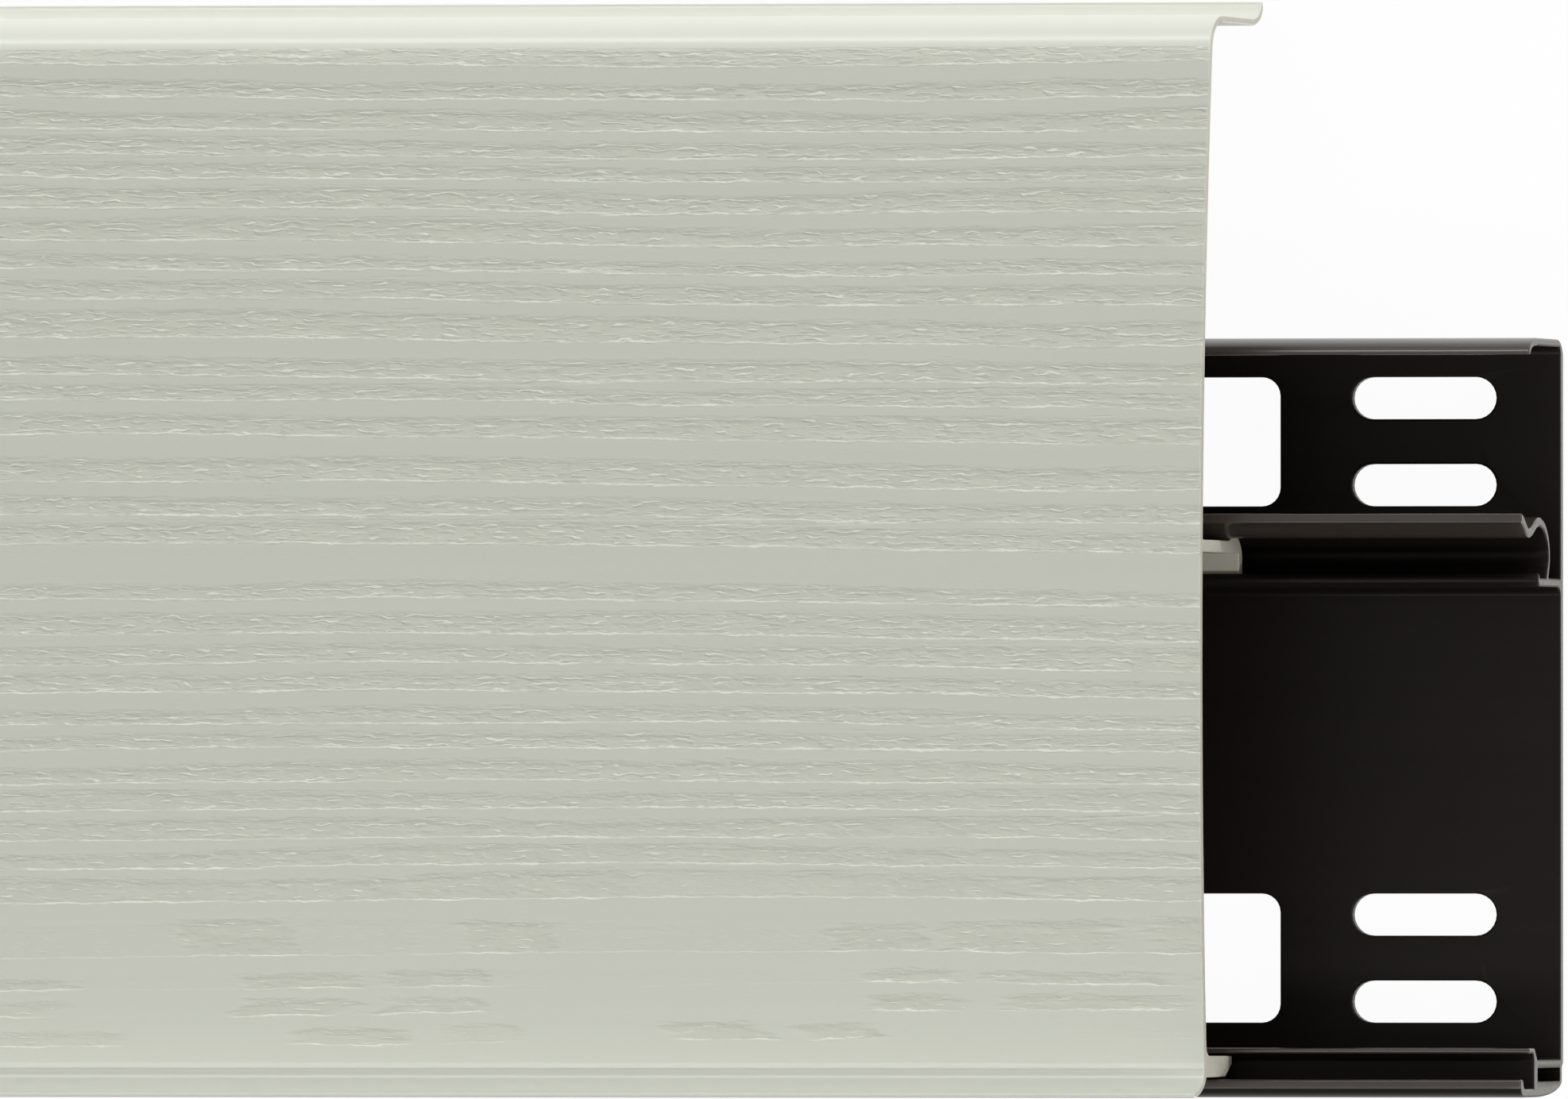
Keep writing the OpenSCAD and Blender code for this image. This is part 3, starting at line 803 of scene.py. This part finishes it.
def blackPvc(name, dark, light, roughness, level):
    # Black PVC from reground stock, extruded: nearly matt, with fine lines drawn along it by the die
    black, add, shader = newMaterial(name, dark, roughness, 1.53, level)
    coords = add("TexCoord", ())["Object"]
    drawn = scaledNoise(add, coords, (220, 0.22, 0.22), 3.0, 0.6)
    broad = scaledNoise(add, coords, (400, 1.8, 1.8), 2.0)
    lines = add("Math", (broad, 0.03, add("Math", (drawn, 0.006), **times)[0]), **timesPlus)[0]
    cloud = scaledNoise(add, coords, (30, 6, 6), 3.0)
    tint = add("Mix", {0: cloud, 6: linear(dark), 7: linear(light)}, **colours)[2]
    wireShader(add, shader, lines, tint)
    return black


def sawnPvc():
    # Where the saw cut it the surface is torn and looks grey
    torn, add, shader = newMaterial("sawn black PVC", "#706E67", 0.6, 1.53, 0.3)
    coords = add("TexCoord", ())["Object"]
    marks = scaledNoise(add, coords, (5, 0.16, 0.9), 3.0, 0.65)
    tint = add("Mix", {0: marks, 6: linear("#5A5852"), 7: linear("#86847D")}, **colours)[2]
    wireShader(add, shader, add("Math", (marks, 0.03), **times)[0], tint)
    return torn


def makeStrip():
    s, h = strip, holes
    outline, marks, hollow = stripSection()
    radius = np.where(marks == paintedHighlight, s["highlightZoneRadius"], s["edgeRadius"])
    points, marks = roundCorners(outline, marks, radius[:, None])
    hollow = roundCorners(hollow, np.zeros(len(hollow)), s["hollowRadius"])[0]
    half = board["length"] / 2
    setLength = h["slotLength"] + h["web"] + h["windowLength"]
    count = int((board["length"] - 2 * h["margin"] - setLength) // h["pitch"]) + 1
    starts = half - h["margin"] - h["pitch"] * np.arange(count)
    cells, cellQuads, cellTriangles, left, right = stripHoles(starts)
    edges = np.sort(np.concatenate([starts + right, starts[-1:] + left]))
    columns = np.concatenate([[-half + s["edgeRadius"]], edges, [half - s["edgeRadius"]]])
    x, ends = endRings(-half, half, columns, s["edgeRadius"])
    vertices = carry(points, x, np.broadcast_to(ends[:, None], (len(x), len(points))))
    sides = tubeFaces(len(x), len(points))
    # The plate between the edges of a row is left open where the sets of holes go
    after = np.roll(points, -1, 0)
    close = 1e-3  # mm
    flat = np.abs(points[:, 1] - after[:, 1]) < 1e-6
    spans = np.sort(np.stack([points[:, 0], after[:, 0]], 1), 1)
    inRow = np.zeros(len(points), bool)
    for row in rows:
        edgesOfRow = np.array([row - rowReach, row + rowReach])
        inRow |= flat & (np.abs(spans - edgesOfRow) < close).all(1)
    inSets = (x[:-1] > edges[0] - close) & (x[1:] < edges[-1] + close)
    punched = inSets[:, None] & inRow[None]
    tube = sides[~punched]
    inner = carry(hollow, x[[0, -1]], np.zeros((2, len(hollow))))
    first = len(vertices)
    innerFaces = tubeFaces(2, len(hollow), first).reshape(-1, 4)
    shaped = vertices.reshape(len(x), len(points), 3)
    loops = [shaped[-1, :, 1:], inner.reshape(2, len(hollow), 3)[-1, :, 1:]]
    cap = fillLoops(loops)
    far = np.concatenate([np.arange(len(points)) + (len(x) - 1) * len(points),
                          np.arange(len(hollow)) + first + len(hollow)])
    near = np.concatenate([np.arange(len(points)), np.arange(len(hollow)) + first])
    offset = first + len(inner)
    faces = (tube.tolist() + innerFaces.tolist() + (cellQuads + offset).tolist()
             + (cellTriangles + offset).tolist() + far[cap].tolist() + near[cap][:, ::-1].tolist())
    indices = np.full(len(faces), matt)
    indices[:len(tube)] = np.broadcast_to(marks, sides.shape[:2])[~punched]
    indices[-2 * len(cap):] = sawn
    # The edges that stand out take a lighter copy of the same black PVC with a brighter gloss: painted
    # highlight
    materials = [blackPvc("extruded black PVC", "#120F0D", "#1A1613", 0.36, 0.07),
                 blackPvc("black PVC, painted highlight", "#2E2824", "#3C352F", 0.25, 0.33), sawnPvc()]
    makePiece("mountingStrip", np.concatenate([vertices, inner, cells]), faces, materials, indices,
              "mounting_base")


makeStrip()

# Studio: a pale floor, one broad soft light from above the board's top edge, and weaker ones round it
studio = {
    "floorSize": 12,  # m
    "floorGap": 0.0002,  # m under the board
    "floorColour": "#F4F4F2",
    "floorWhite": 0.96,  # how much of the floor's look is plain white, the rest is its lit colour
    "ambient": 0.12,
}
lamps = {  # places and sizes in m, powers in W
    "key": {"place": (0.0, 0.376, 0.137), "aim": (0.0, 0, 0), "up": "Y", "size": (4.2, 0.08), "power": 9.15},
    "foot": {"place": (0.0, -0.090, 0.180), "aim": (0.0, 0, 0), "up": "Y", "size": (3.8, 0.03), "power": 2.7},
    "side": {"place": (2.9, 0.0, 0.8), "aim": (1.2, 0, 0), "up": "X", "size": (1.0, 1.8), "power": 9.5},
}


def addLamp(name, s):
    data = bpy.data.lights.new(name, "AREA")
    data.shape = "RECTANGLE"
    data.size, data.size_y = s["size"]
    data.energy = s["power"]
    lamp = bpy.data.objects.new(name, data)
    bpy.context.scene.collection.objects.link(lamp)
    lamp.visible_camera = False
    lamp.location = s["place"]
    toward = Vector(s["aim"]) - Vector(s["place"])
    lamp.rotation_euler = toward.to_track_quat("-Z", s["up"]).to_euler()


def seenDirectly(add):
    # 1 for what the camera sees, straight, in a reflection or through a clear piece
    path = add("LightPath", ())
    either = add("Math", (path["Is Camera Ray"], path["Is Glossy Ray"]), **most)[0]
    return add("Math", (either, path["Is Transmission Ray"]), **most)[0]


def makeStudio():
    s = studio
    half = s["floorSize"] / 2
    mesh = bpy.data.meshes.new("floor")
    corners = [(-half, -half, 0), (half, -half, 0), (half, half, 0), (-half, half, 0)]
    mesh.from_pydata(corners, [], [(0, 1, 2, 3)])
    floor = bpy.data.objects.new("floor", mesh)
    bpy.context.scene.collection.objects.link(floor)
    floor.location.z = -s["floorGap"]
    # Painted studio floor: it looks white and keeps a faint shadow of the board
    paint, add, shader = newMaterial("white painted floor", s["floorColour"], 0.9, 1.5, 0.0)
    white = {"Color": (1, 1, 1, 1), "Strength": 1.0}
    share = add("Math", (seenDirectly(add), s["floorWhite"]), **times)[0]
    mix = add("MixShader", (share, shader.outputs[0], add("Emission", white)[0]))[0]
    tree = paint.node_tree
    tree.links.new(mix, tree.nodes["Material Output"].inputs["Surface"])
    mesh.materials.append(paint)
    for name, settings in lamps.items():
        addLamp(name, settings)
    world = bpy.data.worlds.new("studio")
    bpy.context.scene.world = world
    world.use_nodes = True
    tree = world.node_tree
    add = partial(addNode, tree)
    sky = tree.nodes["Background"]
    sky.inputs["Color"].default_value = (1, 1, 1, 1)
    sky.inputs["Strength"].default_value = s["ambient"]
    mix = add("MixShader", (seenDirectly(add), sky.outputs[0], add("Background", white)[0]))[0]
    tree.links.new(mix, tree.nodes["World Output"].inputs["Surface"])


makeStudio()
bpy.context.scene.view_settings.view_transform = "Standard"
print("studio made")
